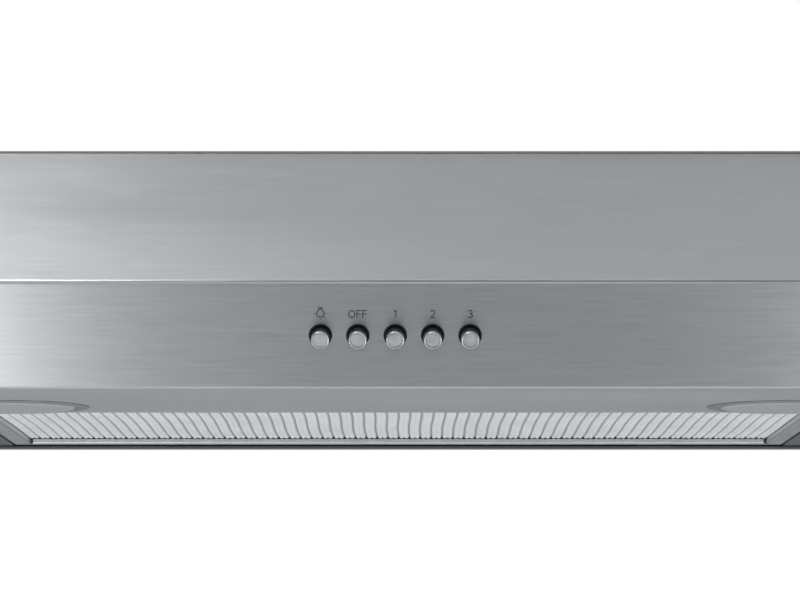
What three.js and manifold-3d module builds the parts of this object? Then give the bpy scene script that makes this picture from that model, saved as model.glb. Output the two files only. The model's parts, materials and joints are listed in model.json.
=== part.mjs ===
// Under cabinet range hood of the 30 inch class, in millimetres.
// X runs to the right seen from the front, Y runs back to the wall and Z is up.
// The origin is the middle of the top face, which is screwed up against a cabinet.
import * as THREE from "three";
import { mergeVertices } from "three/addons/utils/BufferGeometryUtils.js";
import Module from "manifold-3d";

const wasm = await Module();
wasm.setup();

// ---------------------------------------------------------------- driving dimensions

const WIDTH = 759;
const DEPTH = 500;
const HEIGHT = 150;
const TOP_DEPTH = 325;
const SHEET = 1; // thickness of every folded sheet
const GAP = 0.3; // clearance between pieces that touch on the real object
const FOLD = 2.3; // outside radius of a fold in the stainless sheet
const FOLD_STEPS = 4;
const FLANGE = 12; // width of a folded joining flange

const HALF = WIDTH / 2;
const BACK = TOP_DEPTH / 2;
const FLOOR = -HEIGHT;
const UNDER_TOP = -SHEET - GAP; // underside of the top panel, with its clearance
const INSIDE = HALF - SHEET - GAP; // half width between the side panels

// The front's profile in the Y Z plane.
const NOSE = new THREE.Vector2(BACK - DEPTH, -95);
const STRIP_FRONT = new THREE.Vector2(-317, FLOOR);
const STRIP_BACK = -149;
const STRIP_HEM = 12; // height of the fold behind the lamp strip

// Filter.
const FILTER = { width: 500, depth: 291, thick: 9, bottom: -148, member: 11, pitch: 7.05 };
const FILTER_FRONT = -FILTER.depth / 2;
const FILTER_BACK = FILTER.depth / 2;
const MESH_BOTTOM = -144.7;
const MESH_HEIGHT = 3.4;

// Underside pans and the rear flange.
const PAN_BOTTOM = -148.2;
const REAR_HEM = { front: 148.5, thick: 1.5 };

// Lamps.
const LAMP = { x: 219, radius: 45.4, lens: 37.6, drop: 1, sides: 26 };
const LAMP_Y = STRIP_BACK - LAMP.radius - 0.5;
const LAMP_SPIGOT = LAMP.radius - 4.2; // outer radius of the bezel's spigot through the strip

// Push buttons, along the button face. The row's middle is a little left of the hood's.
const BUTTON = { pitch: 19.75, middle: -1.4, cap: 4.8, hole: 6.15, proud: 10.4, up: 29 };
const BUTTON_NAMES = ["light", "off", "speed_1", "speed_2", "speed_3"];

// Duct collar for a 3 1/4 by 10 inch duct, and the damper in it.
const DUCT = { width: 254, depth: 82.5, y: 103.5, rise: 25 };
const DAMPER = { y: 67, z: 6, rod: 1.5, reach: 74 };

// Blower: one scroll around two impellers on a double ended motor.
const AXLE = new THREE.Vector2(70, -68);
const SCROLL = { half: 127, large: 75, small: 48.7, tongue: 99.5 };
const WHEEL = { inner: 34.5, outer: 43, near: 42, far: 120, blades: 24 };
const SHAFT = 4;
const MOTOR = { radius: 35, half: 33 };

// ---------------------------------------------------------------- solids

const X = new THREE.Vector3(1, 0, 0);
const Y = new THREE.Vector3(0, 1, 0);
const Z = new THREE.Vector3(0, 0, 1);

// Drawing planes, named by the direction in which they are extruded.
const ALONG = {
  x: new THREE.Matrix4().makeBasis(Y, Z, X),
  y: new THREE.Matrix4().makeBasis(Z, X, Y),
  z: new THREE.Matrix4().makeBasis(X, Y, Z),
};

function manifoldOf(position, corners) {
  const mesh = new wasm.Mesh({ numProp: 3, vertProperties: position, triVerts: corners });
  return new wasm.Manifold(mesh);
}

// A closed geometry as a solid whose faces point out. Faces that shrank to nothing are dropped.
function solidOf(geometry, matrix = new THREE.Matrix4()) {
  const bare = geometry.clone().applyMatrix4(matrix);
  bare.deleteAttribute("normal");
  bare.deleteAttribute("uv");
  const merged = mergeVertices(bare, 1e-4);
  const index = merged.index.array;
  const corners = [];
  for (let i = 0; i < index.length; i += 3) {
    const [a, b, c] = [index[i], index[i + 1], index[i + 2]];
    if (a !== b && b !== c && c !== a) corners.push(a, b, c);
  }
  const position = merged.attributes.position.array;
  const solid = manifoldOf(position, new Uint32Array(corners));
  if (solid.volume() > 0) return solid;
  return manifoldOf(position, new Uint32Array(corners.reverse()));
}

const join = (first, ...others) => others.reduce((whole, next) => whole.add(next), first);
const cut = (first, ...tools) => tools.reduce((whole, tool) => whole.subtract(tool), first);

function block([x0, x1], [y0, y1], [z0, z1]) {
  const shape = new THREE.BoxGeometry(x1 - x0, y1 - y0, z1 - z0);
  const middle = new THREE.Matrix4().makeTranslation((x0 + x1) / 2, (y0 + y1) / 2, (z0 + z1) / 2);
  return solidOf(shape, middle);
}

// A block given by half its width, the same on both sides of the middle plane.
const middleBlock = (half, y, z) => block([-half, half], y, z);

// An outline drawn in the plane across an axis, and extruded along that axis.
function prism(axis, outline, [from, to]) {
  const shape = new THREE.Shape(outline);
  const geometry = new THREE.ExtrudeGeometry(shape, { depth: to - from, bevelEnabled: false });
  geometry.translate(0, 0, from);
  return solidOf(geometry, ALONG[axis]);
}

function circle(radius, centre, sides) {
  return Array.from({ length: sides }, (_, k) => {
    const angle = (2 * Math.PI * (k + 0.5)) / sides;
    return new THREE.Vector2(Math.cos(angle), Math.sin(angle)).multiplyScalar(radius).add(centre);
  });
}

// A round bar along an axis. Its centre is given in the plane across that axis.
const bar = (axis, radius, centre, span, sides = 16) =>
  prism(axis, circle(radius, new THREE.Vector2(...centre), sides), span);

const tube = (axis, outer, inner, centre, span, sides = 16) =>
  cut(
    bar(axis, outer, centre, span, sides),
    bar(axis, inner, centre, [span[0] - 1, span[1] + 1], sides),
  );

// A profile of [radius, height] points turned about the local Z axis.
function turned(profile, sides, matrix) {
  const points = profile.map(([radius, height]) => new THREE.Vector2(radius, height));
  const upright = new THREE.LatheGeometry(points, sides).rotateX(Math.PI / 2);
  return solidOf(upright, matrix);
}

// A round lead along a smooth line through the given points.
function lead(radius, points) {
  const path = new THREE.CatmullRomCurve3(points.map((point) => new THREE.Vector3(...point)));
  const section = new THREE.Shape(circle(radius, new THREE.Vector2(), 8));
  const options = { extrudePath: path, steps: 16, bevelEnabled: false };
  return solidOf(new THREE.ExtrudeGeometry(section, options));
}

// A coil spring around the local Z axis.
class Helix extends THREE.Curve {
  constructor(radius, from, to, turns) {
    super();
    Object.assign(this, { radius, from, to, turns });
  }
  getPoint(t, target = new THREE.Vector3()) {
    const angle = 2 * Math.PI * this.turns * t;
    const height = this.from + (this.to - this.from) * t;
    return target.set(this.radius * Math.cos(angle), this.radius * Math.sin(angle), height);
  }
}

function spring(radius, wire, [from, to], turns, matrix) {
  const path = new Helix(radius, from, to, turns);
  const section = new THREE.Shape(circle(wire, new THREE.Vector2(), 4));
  const options = { extrudePath: path, steps: turns * 6, bevelEnabled: false };
  return solidOf(new THREE.ExtrudeGeometry(section, options), matrix);
}

const leftOf = (direction) => new THREE.Vector2(-direction.y, direction.x);

// Points along a line that is rounded at its corners, each with the normal on its left.
function bentLine(corners, radius, steps) {
  const samples = [];
  corners.forEach((corner, i) => {
    const before = i > 0 && corner.clone().sub(corners[i - 1]).normalize();
    const after = i < corners.length - 1 && corners[i + 1].clone().sub(corner).normalize();
    if (!before || !after) {
      samples.push({ at: corner, normal: leftOf(before || after) });
      return;
    }
    const turn = Math.atan2(before.cross(after), before.dot(after));
    const side = Math.sign(turn);
    const reach = radius * Math.tan(Math.abs(turn) / 2);
    const start = corner.clone().addScaledVector(before, -reach);
    const centre = start.clone().addScaledVector(leftOf(before), side * radius);
    for (let k = 0; k <= steps; k++) {
      const normal = leftOf(before).rotateAround(new THREE.Vector2(), (turn * k) / steps);
      samples.push({ at: centre.clone().addScaledVector(normal, -side * radius), normal });
    }
  });
  return samples;
}

// The section of a sheet that follows a line and has its thickness on the line's left.
function sheetSection(samples, thickness) {
  const outer = samples.map(({ at }) => at);
  const inner = samples.map(({ at, normal }) => at.clone().addScaledVector(normal, thickness));
  return [...outer, ...inner.reverse()];
}

// ---------------------------------------------------------------- finishes

const finish = (color, roughness, metalness) => () =>
  new THREE.MeshStandardMaterial({ color, roughness, metalness });

const stainless = finish(0xa9abad, 0.34, 1);
const galvanised = finish(0x9a9ea0, 0.48, 0.9);
const painted = finish(0x57595b, 0.55, 0.2);
const aluminium = finish(0xc4c6c8, 0.4, 1);
const satin = finish(0xc9cacc, 0.3, 1);
const black = finish(0x17181a, 0.5, 0);
const frosted = finish(0xd9dbdc, 0.35, 0);
const white = finish(0xe6e6e2, 0.5, 0);
const steel = finish(0x8f9296, 0.35, 1);
const grey = finish(0x6c7074, 0.6, 0);
const circuit = finish(0xeceff0, 0.45, 0);

const hood = new THREE.Group();

function add(name, solid, material, parent = hood) {
  const { numProp, numVert, vertProperties, triVerts } = solid.getMesh();
  const position = new Float32Array(3 * numVert);
  for (let i = 0; i < numVert; i++) {
    position.set(vertProperties.subarray(i * numProp, i * numProp + 3), 3 * i);
  }
  const geometry = new THREE.BufferGeometry();
  geometry.setAttribute("position", new THREE.BufferAttribute(position, 3));
  geometry.setIndex(new THREE.BufferAttribute(triVerts, 1));
  geometry.computeVertexNormals();
  const mesh = new THREE.Mesh(geometry, material());
  mesh.name = name;
  parent.add(mesh);
}

const SIDES = [
  { name: "left", sign: -1 },
  { name: "right", sign: 1 },
];

// A span across X on one side of the hood, with its lower end first.
const span = (sign, near, far) => [sign * near, sign * far].sort((a, b) => a - b);

// ---------------------------------------------------------------- outer shell

// The button face, from the middle of the button row: local X is the hood's, local Y runs down the face
// and local Z points into the hood.
const FACE_LEAN = Math.atan2(STRIP_FRONT.x - NOSE.x, NOSE.y - STRIP_FRONT.y);
const upFace = NOSE.clone().sub(STRIP_FRONT).normalize();
const buttonLine = STRIP_FRONT.clone().addScaledVector(upFace, BUTTON.up);
const faceMatrix = new THREE.Matrix4()
  .makeRotationX(FACE_LEAN - Math.PI / 2)
  .setPosition(BUTTON.middle, buttonLine.x, buttonLine.y);

const buttonX = (k) => (k - (BUTTON_NAMES.length - 1) / 2) * BUTTON.pitch;

// A tool that cuts a round hole through the button face.
function faceTool(radius, [from, to], x) {
  const tool = new THREE.CylinderGeometry(radius, radius, to - from, 20).rotateX(Math.PI / 2);
  tool.translate(x, 0, (from + to) / 2);
  return solidOf(tool, faceMatrix);
}

function frontVisor() {
  const corners = [
    new THREE.Vector2(-BACK + FLANGE + 5, UNDER_TOP),
    new THREE.Vector2(-BACK, UNDER_TOP),
    NOSE,
    STRIP_FRONT,
    new THREE.Vector2(STRIP_BACK, FLOOR),
    new THREE.Vector2(STRIP_BACK, FLOOR + STRIP_HEM),
  ];
  const section = sheetSection(bentLine(corners, FOLD, FOLD_STEPS), SHEET);
  const sheet = prism("x", section, [-INSIDE, INSIDE]);
  const buttonHoles = BUTTON_NAMES.map((_, k) => faceTool(BUTTON.hole, [-3, 4], buttonX(k)));
  const lampHoles = SIDES.map(({ sign }) =>
    bar("z", LAMP_SPIGOT + 0.4, [sign * LAMP.x, LAMP_Y], [FLOOR - 2, FLOOR + 3], LAMP.sides),
  );
  const latchSlot = middleBlock(TONGUE_ROOM + 2, [STRIP_BACK - 3, STRIP_BACK + 2], TONGUE_SLOT);
  return cut(sheet, ...buttonHoles, ...lampHoles, latchSlot);
}

const KEYHOLES = [-1, 1].flatMap((sx) => [-1, 1].map((sy) => [sx * 352, sy * 118]));
const KEYHOLE = { head: 5.5, slot: 2.75, run: 12 };

// A keyhole for a hanging screw: a head hole with a narrower slot running forward of it.
function keyhole([x, y]) {
  const through = [-3, 3];
  return join(
    bar("z", KEYHOLE.head, [x, y], through, 16),
    bar("z", KEYHOLE.slot, [x, y - KEYHOLE.run], through, 12),
    block([x - KEYHOLE.slot, x + KEYHOLE.slot], [y - KEYHOLE.run, y], through),
  );
}

const WIRE_HOLE = { x: -313, y: 126, radius: 11 };

function topPanel() {
  const room = 1.5;
  const duct = middleBlock(
    DUCT.width / 2 + room,
    [DUCT.y - DUCT.depth / 2 - room, DUCT.y + DUCT.depth / 2 + room],
    [-3, 3],
  );
  const wires = bar("z", WIRE_HOLE.radius, [WIRE_HOLE.x, WIRE_HOLE.y], [-3, 3], 20);
  const plate = middleBlock(HALF, [-BACK, BACK], [-SHEET, 0]);
  return cut(plate, duct, wires, ...KEYHOLES.map(keyhole));
}

const REAR_OPENING = { half: 130, low: -117, high: -33 };

function rearPanel() {
  const low = FLOOR + REAR_HEM.thick;
  const tabs = [-1, 1].map((sign) =>
    block(span(sign, 150, 355), [BACK - FLANGE, BACK - SHEET], [UNDER_TOP - SHEET, UNDER_TOP]),
  );
  const opening = middleBlock(
    REAR_OPENING.half,
    [BACK - 3, BACK + 2],
    [REAR_OPENING.low, REAR_OPENING.high],
  );
  const sheet = middleBlock(INSIDE, [BACK - SHEET, BACK], [FLOOR, UNDER_TOP]);
  const hem = middleBlock(INSIDE, [REAR_HEM.front, BACK], [FLOOR, low]);
  return cut(join(sheet, hem, ...tabs), opening);
}

function rearDuctCover() {
  const edge = 8;
  return middleBlock(
    REAR_OPENING.half + edge,
    [BACK - 2 * SHEET - GAP, BACK - SHEET - GAP],
    [REAR_OPENING.low - edge, REAR_OPENING.high + edge],
  );
}

// Side panels carry the front's profile, and have flanges under the top panel, at the rear and below.
function sidePanel(sign) {
  const profile = [
    new THREE.Vector2(-BACK, UNDER_TOP),
    NOSE,
    STRIP_FRONT,
    new THREE.Vector2(BACK, FLOOR),
    new THREE.Vector2(BACK, UNDER_TOP),
  ];
  const rounded = bentLine(profile, FOLD, FOLD_STEPS).map(({ at }) => at);
  const skin = prism("x", rounded, span(sign, HALF - SHEET, HALF));
  const inward = span(sign, HALF - FLANGE, HALF);
  const top = block(inward, [-140, 147], [UNDER_TOP - SHEET, UNDER_TOP]);
  const rearFace = BACK - SHEET - GAP;
  const rear = block(inward, [rearFace - SHEET, rearFace], [-147, UNDER_TOP - SHEET - GAP]);
  const bottom = block(inward, [STRIP_BACK + 0.5, REAR_HEM.front - GAP], [FLOOR, FLOOR + SHEET]);
  return join(skin, top, rear, bottom);
}

// A shallow tray beside the filter, turned up along its inner, outer and front edges.
function bottomPan(sign) {
  const inner = FILTER.width / 2 + 1.3;
  const wall = [PAN_BOTTOM, PAN_BOTTOM + FLANGE];
  const front = STRIP_BACK + 1.2;
  const back = BACK - 3;
  const plate = block(span(sign, inner, INSIDE), [front, back], [PAN_BOTTOM, PAN_BOTTOM + SHEET]);
  const innerWall = block(span(sign, inner, inner + SHEET), [front, back], wall);
  const outerWall = block(span(sign, INSIDE - SHEET, INSIDE), [front, back - 1.5], wall);
  const frontWall = block(span(sign, inner, INSIDE), [front, front + SHEET], wall);
  return join(plate, innerWall, outerWall, frontWall);
}

// ---------------------------------------------------------------- duct collar and damper

function ductCollar() {
  const half = DUCT.width / 2;
  const back = DUCT.y + DUCT.depth / 2;
  const front = DUCT.y - DUCT.depth / 2;
  const foot = [UNDER_TOP - SHEET, UNDER_TOP];
  const outside = middleBlock(half, [front, back], [UNDER_TOP - SHEET, DUCT.rise]);
  const flange = middleBlock(half + 11, [front - 9, back + 9], foot);
  const bore = middleBlock(half - SHEET, [front + SHEET, back - SHEET], [-9, DUCT.rise + 9]);
  const stop = middleBlock(half - 20, [back - 5, back - SHEET / 2], [DAMPER.z - 2.4, DAMPER.z - 1.4]);
  const rodHoles = bar("x", DAMPER.rod + GAP, [DAMPER.y, DAMPER.z], [-half - 5, half + 5]);
  return cut(join(cut(join(outside, flange), bore), stop), rodHoles);
}

function damperFlap() {
  const half = DUCT.width / 2 - 3;
  const barrel = bar("x", DAMPER.rod + 1.1, [DAMPER.y, DAMPER.z], [-half, half]);
  const blade = middleBlock(
    half,
    [DAMPER.y, DAMPER.y + DAMPER.reach],
    [DAMPER.z - 1, DAMPER.z - 0.2],
  );
  const bead = middleBlock(half - 12, [DAMPER.y + 24, DAMPER.y + 30], [DAMPER.z - 1, DAMPER.z + 1]);
  const bore = bar("x", DAMPER.rod + 0.2, [DAMPER.y, DAMPER.z], [-half - 1, half + 1]);
  return cut(join(barrel, blade, bead), bore);
}

const damperRod = () =>
  bar("x", DAMPER.rod, [DAMPER.y, DAMPER.z], [-DUCT.width / 2 - 1, DUCT.width / 2 + 1]);

// ---------------------------------------------------------------- blower

const aboutAxle = (radius, angle) =>
  new THREE.Vector2(Math.cos(angle), Math.sin(angle)).multiplyScalar(radius).add(AXLE);

const SCROLL_TOP = UNDER_TOP - SHEET - GAP;
const SCROLL_SWEEP = 2 * Math.PI - THREE.MathUtils.degToRad(SCROLL.tongue);

// The scroll's outer radius shrinks evenly from the outlet's rear wall, at angle 0, round to its tongue.
const scrollRadius = (share) => SCROLL.large + (SCROLL.small - SCROLL.large) * share;

// The scroll's outer line: down the rear of the outlet, round the wheel and up the outlet's front.
function scrollLine(turns = 32) {
  const spiral = Array.from({ length: turns + 1 }, (_, k) => {
    const at = aboutAxle(scrollRadius(k / turns), (-SCROLL_SWEEP * k) / turns);
    return { at, normal: AXLE.clone().sub(at).normalize() };
  });
  const tongue = spiral[turns];
  const rearTop = new THREE.Vector2(AXLE.x + SCROLL.large, SCROLL_TOP);
  const frontTop = new THREE.Vector2(tongue.at.x, SCROLL_TOP);
  const forward = new THREE.Vector2(-1, 0);
  const rearward = new THREE.Vector2(1, 0);
  tongue.normal.add(rearward).normalize();
  return [{ at: rearTop, normal: forward }, ...spiral, { at: frontTop, normal: rearward }];
}

function blowerScroll() {
  return prism("x", sheetSection(scrollLine(), SHEET), [-SCROLL.half, SCROLL.half]);
}

const INLET_HOLE = 41.5;

function scrollCheek(sign) {
  const outline = scrollLine().map(({ at }) => at);
  const place = span(sign, SCROLL.half + GAP, SCROLL.half + GAP + SHEET);
  const plate = prism("x", outline, place);
  const inlet = bar("x", INLET_HOLE, [AXLE.x, AXLE.y], [place[0] - 1, place[1] + 1], 28);
  return cut(plate, inlet);
}

// A bell mouth that leads air through the cheek into the open end of the wheel.
function inletRing(sign) {
  const face = SCROLL.half + 2 * GAP + SHEET;
  const profile = [
    [50, face],
    [50, face + SHEET],
    [39, face + SHEET],
    [34, face - 1.5],
    [32.8, face - 6.5],
    [33.8, face - 6.5],
    [35, face - 2],
    [39.6, face],
    [50, face],
  ];
  return turned(profile, 28, axleMatrix(sign));
}

// Turns the local Z axis to the hood's X axis, at the axle, pointing left or right.
function axleMatrix(sign) {
  return new THREE.Matrix4()
    .makeRotationY((sign * Math.PI) / 2)
    .setPosition(0, AXLE.x, AXLE.y);
}

function motorBody() {
  const shell = [
    [0, -MOTOR.half],
    [12, -MOTOR.half],
    [12, -MOTOR.half + 3],
    [MOTOR.radius - 6, -MOTOR.half + 3],
    [MOTOR.radius, -MOTOR.half + 9],
    [MOTOR.radius, MOTOR.half - 9],
    [MOTOR.radius - 6, MOTOR.half - 3],
    [12, MOTOR.half - 3],
    [12, MOTOR.half],
    [0, MOTOR.half],
  ];
  const bore = bar("x", SHAFT + GAP, [AXLE.x, AXLE.y], [-MOTOR.half - 1, MOTOR.half + 1]);
  return cut(turned(shell, 24, axleMatrix(1)), bore);
}

// A clamp band round the motor on three arms that reach the scroll's wall.
function motorBracket() {
  const half = 9;
  const centre = [AXLE.x, AXLE.y];
  const band = tube("x", MOTOR.radius + 2.8, MOTOR.radius + 0.8, centre, [-half, half], 24);
  const arms = [200, 262, 318].map((degrees) => {
    const angle = THREE.MathUtils.degToRad(degrees);
    const wall = scrollRadius((2 * Math.PI - angle) / SCROLL_SWEEP) - SHEET - 1.2;
    const root = MOTOR.radius + 1.4;
    const arm = new THREE.BoxGeometry(2 * half, wall - root, 6);
    arm.translate(0, (wall + root) / 2, 0);
    return solidOf(arm.rotateX(angle).translate(0, AXLE.x, AXLE.y));
  });
  return join(band, ...arms);
}

const rotorShaft = () => bar("x", SHAFT, [AXLE.x, AXLE.y], [-98, 98]);

// One forward curved blade, in the plane across the axle.
function bladeOutline(start) {
  const stations = [0, 0.5, 1];
  const edge = (offset) =>
    stations.map((t) => {
      const radius = WHEEL.inner + (WHEEL.outer - 0.6 - WHEEL.inner) * t;
      return aboutAxle(radius, start + 0.2 * t * t + offset / radius);
    });
  return [...edge(-0.4), ...edge(0.4).reverse()];
}

// A squirrel cage wheel: back plate with a hub, blades and an end ring.
function impeller(sign) {
  const centre = [AXLE.x, AXLE.y];
  const plate = bar("x", WHEEL.outer, centre, span(sign, WHEEL.near, WHEEL.near + 1.6), 24);
  const hub = bar("x", 11, centre, span(sign, WHEEL.near, WHEEL.near + 16), 12);
  const end = span(sign, WHEEL.far - 3, WHEEL.far);
  const ring = tube("x", WHEEL.outer, WHEEL.inner, centre, end, 24);
  const blades = Array.from({ length: WHEEL.blades }, (_, k) =>
    prism(
      "x",
      bladeOutline((2 * Math.PI * k) / WHEEL.blades),
      span(sign, WHEEL.near + 0.8, WHEEL.far - 1.5),
    ),
  );
  const bore = bar("x", SHAFT + GAP, centre, span(sign, WHEEL.near - 2, WHEEL.near + 20));
  return cut(join(plate, hub, ring, ...blades), bore);
}

const CAPACITOR = { radius: 17, y: 40, z: -24, x: -168, half: 28 };

function runCapacitor() {
  const { radius, y, z, x, half } = CAPACITOR;
  const can = bar("x", radius, [y, z], [x - half, x + half], 24);
  const stud = bar("x", 4, [y, z], [x - half - 8, x], 10);
  return join(can, stud);
}

function capacitorClip() {
  const { radius, y, z, x } = CAPACITOR;
  const wide = [x - 9, x + 9];
  const outer = radius + GAP + 1.2;
  const band = cut(
    bar("x", outer, [y, z], wide, 24),
    bar("x", radius + GAP, [y, z], [wide[0] - 1, wide[1] + 1], 24),
  );
  const foot = block(wide, [y - 34, y - outer + 1.2], [UNDER_TOP - 1.2, UNDER_TOP]);
  const leg = block(wide, [y - outer - 0.2, y - outer + 1], [z, UNDER_TOP]);
  return join(band, foot, leg);
}

// ---------------------------------------------------------------- grease filter

// A block as large as the filter, drawn in by the same margin on all four sides.
const filterBlock = (margin, z) =>
  middleBlock(FILTER.width / 2 - margin, [FILTER_FRONT + margin, FILTER_BACK - margin], z);

const TONGUE_SLOT = [-147.2, -144.6]; // the heights that the latch's tongue passes through
const TONGUE_ROOM = 13;

// A channel frame with a groove for the mesh, a pocket for the latch and two hinge tabs at the rear.
function filterFrame() {
  const { bottom, thick, member } = FILTER;
  const groove = filterBlock(1.2, [MESH_BOTTOM - GAP, bottom + thick - 1]);
  const opening = filterBlock(member, [bottom - 1, bottom + thick + 1]);
  const pocketDepth = [FILTER_FRONT + 1.2, FILTER_FRONT + member + 1];
  const pocket = middleBlock(26, pocketDepth, [bottom - 1, MESH_BOTTOM]);
  const tongueSlot = middleBlock(TONGUE_ROOM, [FILTER_FRONT - 1, FILTER_FRONT + 2], TONGUE_SLOT);
  const springStops = [-1, 1].map((sign) =>
    block(
      span(sign, 18, 27),
      [FILTER_FRONT + member - 1.2, FILTER_FRONT + member],
      [bottom, MESH_BOTTOM - GAP],
    ),
  );
  const hingeTabs = [-1, 1].map((sign) =>
    block(span(sign, 160, 182), [FILTER_BACK - 1, FILTER_BACK + 8.5], [-147.4, -146.2]),
  );
  const channel = cut(filterBlock(0, [bottom, bottom + thick]), opening, groove, pocket, tongueSlot);
  return join(channel, ...springStops, ...hingeTabs);
}

// The ribbed lower layer: a zigzag sheet whose ribs run from front to back.
function filterMesh() {
  const half = FILTER.width / 2 - 1.8;
  const ribs = Math.floor((2 * half) / FILTER.pitch);
  const step = half / ribs;
  const sheet = 0.9;
  const low = Array.from({ length: 2 * ribs + 1 }, (_, k) => {
    const z = MESH_BOTTOM + (k % 2 ? MESH_HEIGHT - sheet : 0);
    return new THREE.Vector2(z, -half + k * step);
  });
  const high = low.map((point) => point.clone().add(new THREE.Vector2(sheet, 0)));
  const outline = [...low, ...high.reverse()];
  return prism("y", outline, [FILTER_FRONT + 1.8, FILTER_BACK - 1.8]);
}

function filterBackMesh() {
  const z = MESH_BOTTOM + MESH_HEIGHT + GAP;
  return filterBlock(1.8, [z, z + 0.9]);
}

const LATCH = { half: 16, wing: 23, tongue: 12, top: -145.4, bottom: -147.8 };
const LATCH_BACK = FILTER_FRONT + 8.5;

// A sliding bolt in the front of the filter frame, with a finger recess and two wings for its springs.
function filterLatch() {
  const z = [LATCH.bottom, LATCH.top];
  const body = middleBlock(LATCH.half, [FILTER_FRONT + 1.6, LATCH_BACK], z);
  const wings = middleBlock(LATCH.wing, [FILTER_FRONT + 1.6, FILTER_FRONT + 3.2], z);
  const tongueHeights = [LATCH.bottom + 1, LATCH.top];
  const tongue = middleBlock(LATCH.tongue, [STRIP_BACK - 3, FILTER_FRONT + 4], tongueHeights);
  const recess = middleBlock(
    LATCH.half - 3,
    [FILTER_FRONT + 4.4, LATCH_BACK - 1.4],
    [LATCH.bottom - 1, LATCH.bottom + 1.2],
  );
  return cut(join(body, wings, tongue), recess);
}

function latchSpring(sign) {
  const from = FILTER_FRONT + 3.5;
  const to = FILTER_FRONT + FILTER.member - 1.5;
  const towardsBack = new THREE.Matrix4()
    .makeRotationX(-Math.PI / 2)
    .setPosition(sign * 20.3, 0, (LATCH.top + LATCH.bottom) / 2);
  return spring(0.85, 0.22, [from, to], 4, towardsBack);
}

// ---------------------------------------------------------------- lamps

function lampBezel(x) {
  const { radius, lens, drop, sides } = LAMP;
  const profile = [
    [radius, FLOOR - GAP],
    [lens + 0.5, FLOOR - GAP - drop + 0.1],
    [lens + 0.5, FLOOR + 1],
    [LAMP_SPIGOT - 1.6, FLOOR + 1],
    [LAMP_SPIGOT - 1.6, FLOOR + 8],
    [LAMP_SPIGOT, FLOOR + 8],
    [LAMP_SPIGOT, FLOOR - 0.05],
    [radius, FLOOR - 0.05],
    [radius, FLOOR - GAP],
  ];
  return turned(profile, sides, new THREE.Matrix4().makeTranslation(x, LAMP_Y, 0));
}

function lampLens(x) {
  const { lens, drop, sides } = LAMP;
  const profile = [
    [0, FLOOR - drop - 0.6],
    [lens * 0.6, FLOOR - drop - 0.45],
    [lens - 0.8, FLOOR - drop - 0.2],
    [lens, FLOOR - drop + 0.3],
    [lens, FLOOR + 2.2],
    [0, FLOOR + 2.2],
  ];
  return turned(profile, sides, new THREE.Matrix4().makeTranslation(x, LAMP_Y, 0));
}

// A cup that closes the lamp from above. Its rim stands on the lamp strip, cut short at the strip's hem.
function lampHousing(x) {
  const rim = LAMP.radius + 3;
  const wall = LAMP_SPIGOT + 0.4;
  const foot = FLOOR + SHEET + GAP;
  const profile = [
    [rim, foot],
    [rim, foot + 1.2],
    [wall + 1.2, foot + 1.2],
    [wall + 1.2, foot + 17],
    [wall - 3, foot + 20],
    [0, foot + 20],
    [0, foot + 18.8],
    [wall - 3.5, foot + 18.8],
    [wall, foot + 16.5],
    [wall, foot],
    [rim, foot],
  ];
  const cup = turned(profile, LAMP.sides, new THREE.Matrix4().makeTranslation(x, LAMP_Y, 0));
  const behindHem = block([x - rim, x + rim], [STRIP_BACK - SHEET - 2.2, 0], [FLOOR, 0]);
  return cut(cup, behindHem);
}

function lampBoard(x) {
  const z = FLOOR + 9;
  const board = bar("z", 33, [x, LAMP_Y], [z, z + 1.6], 24);
  const sink = bar("z", 12, [x, LAMP_Y], [z + 1, z + 9], 16);
  const chips = Array.from({ length: 6 }, (_, k) => {
    const angle = (2 * Math.PI * k) / 6;
    const cx = x + 20 * Math.cos(angle);
    const cy = LAMP_Y + 20 * Math.sin(angle);
    return block([cx - 1.8, cx + 1.8], [cy - 1.8, cy + 1.8], [z - 0.8, z + 0.4]);
  });
  return join(board, sink, ...chips);
}

// ---------------------------------------------------------------- push buttons

// Depths into the hood along the button face's normal.
const GUIDE = { front: 1.3, back: 4.3, collar: 0.6, bore: 5.05 };
const STOP_FLANGE = { front: 4.6, back: 5.8, radius: 6.1 };
const SWITCH = { front: 13.5, back: 31, half: 52, tall: 9, bore: 2.6 };
const STEM = { radius: 2.2, end: 18.5 };

const controls = new THREE.Group();
controls.applyMatrix4(faceMatrix);
hood.add(controls);

function buttonGuide() {
  const { front, back, collar, bore } = GUIDE;
  const half = buttonX(BUTTON_NAMES.length - 1) + 12;
  const plate = block([-half, half], [-9, 9], [front, back]);
  const collars = BUTTON_NAMES.map((_, k) =>
    bar("z", BUTTON.hole - GAP, [buttonX(k), 0], [collar, front + 0.5], 16),
  );
  const bores = BUTTON_NAMES.map((_, k) => bar("z", bore, [buttonX(k), 0], [-2, back + 2], 16));
  return cut(join(plate, ...collars), ...bores);
}

// Cap with a chamfered rim, a flange that stops it behind the guide, and a stem into the switch.
function buttonSolid(x) {
  const { cap, proud } = BUTTON;
  const chamfer = 0.7;
  const profile = [
    [0, -proud + 0.15],
    [cap - chamfer - 0.1, -proud + 0.15],
    [cap - chamfer, -proud],
    [cap - 0.15, -proud + chamfer],
    [cap, -proud + chamfer + 0.4],
    [cap, STOP_FLANGE.front],
    [STOP_FLANGE.radius, STOP_FLANGE.front],
    [STOP_FLANGE.radius, STOP_FLANGE.back],
    [STEM.radius, STOP_FLANGE.back],
    [STEM.radius, STEM.end],
    [0, STEM.end],
  ];
  return turned(profile, 16, new THREE.Matrix4().makeTranslation(x, 0, 0));
}

const buttonSpring = (x) =>
  spring(
    3.3,
    0.32,
    [STOP_FLANGE.back + 0.7, SWITCH.front - 0.7],
    3,
    new THREE.Matrix4().makeTranslation(x, 0, 0),
  );

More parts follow.
